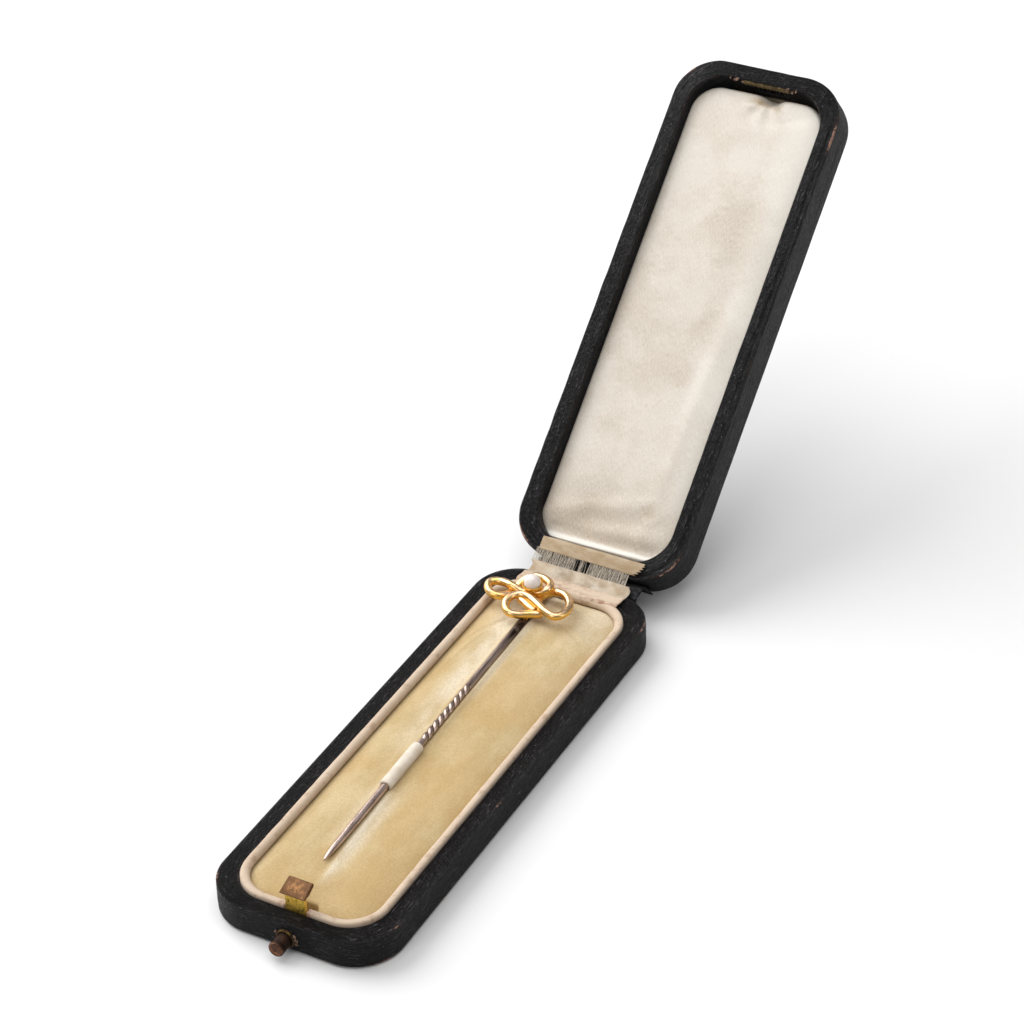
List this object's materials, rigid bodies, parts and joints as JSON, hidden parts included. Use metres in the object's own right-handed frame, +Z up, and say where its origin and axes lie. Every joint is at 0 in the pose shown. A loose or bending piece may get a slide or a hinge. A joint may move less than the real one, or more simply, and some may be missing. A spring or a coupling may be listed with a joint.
{
  "type": "hat pin",
  "caption": "Short gold hat or stick pin with a knotted-tube head and pearl, lying in its fitted hinged leather case with velvet pad, silk-lined lid and push-button catch.",
  "frame": {"origin": "centre of the base's underside, on the surface that the case stands on", "axes": "+X across the case, to the right of someone facing the catch end; +Y along the case from the catch to the hinge and on along the open lid; +Z up"},
  "size_m": [0.0282, 0.1573, 0.0601],
  "materials": {
    "case_leather": "fine-grained black leather with a dull sheen, rubbed brown along the edges",
    "hinge_leather": "thin black leather strap, creased at the bend",
    "collar_leather": "cream kid leather lip, aged and stained",
    "velvet": "ochre-cream cotton velvet with worn patches",
    "band_silk": "cream ribbed silk loop",
    "satin": "ivory silk satin, padded, softly stained",
    "ribbon_silk": "off-white silk ribbon with frayed threads",
    "wood_core": "bare close-grained wood",
    "board": "grey-brown pasteboard",
    "foot_paper": "dark brown backing paper",
    "catch_brass": "brass with brown patina and scratches",
    "catch_brass_dark": "dark tarnished brass",
    "button_brass": "brown tarnished brass, rubbed",
    "keeper_brass": "worn, tarnished brass",
    "stem_metal": "rose-tinted gold-plated stem, dark oxide in the twist",
    "gold": "polished warm yellow gold, drawn tube",
    "pearl": "smooth pearl lustre"
  },
  "bodies": {
    "case_base": {"base_frame": "wood_core", "base_floor": "board", "base_leather": "case_leather", "base_foot_paper": "foot_paper", "base_collar": "collar_leather", "pad_board": "board", "velvet_pad": "velvet", "pin_band": "band_silk", "button_bush": "catch_brass_dark", "hinge_leather_base": "hinge_leather", "silk_ribbon_base": "ribbon_silk"},
    "catch": {"push_button": "button_brass", "catch_hook": "catch_brass", "catch_rivet": "catch_brass"},
    "lid": {"lid_frame": "wood_core", "lid_panel": "board", "lid_leather": "case_leather", "lid_pad_board": "board", "lid_cushion": "satin", "keeper_plate": "keeper_brass", "keeper_pin_left": "keeper_brass", "keeper_pin_right": "keeper_brass", "hinge_leather_lid": "hinge_leather", "silk_ribbon_lid": "ribbon_silk"},
    "pin": {"pin_stem": "stem_metal", "stem_socket": "gold", "knot_front_tube": "gold", "knot_back_tube": "gold", "pearl_cup": "gold", "pearl_peg": "gold", "pearl": "pearl"}
  },
  "joints": [
    {"name": "lid_hinge", "type": "hinge", "parent": "case_base", "child": "lid", "pos_m": [0, 0.04344, 0.00478], "axis": [-1, 0, 0], "range_deg": [-139.5, 0]},
    {"name": "button_press", "type": "slide", "parent": "case_base", "child": "catch", "axis": [0, 1, 0], "range_m": [0, 0.0009], "stiffness_N_per_m": 60},
    {"name": "pin_slide", "type": "slide", "parent": "case_base", "child": "pin", "axis": [-0.0202, 0.9998, 0], "range_m": [-0.001, 0.0002]}
  ]
}
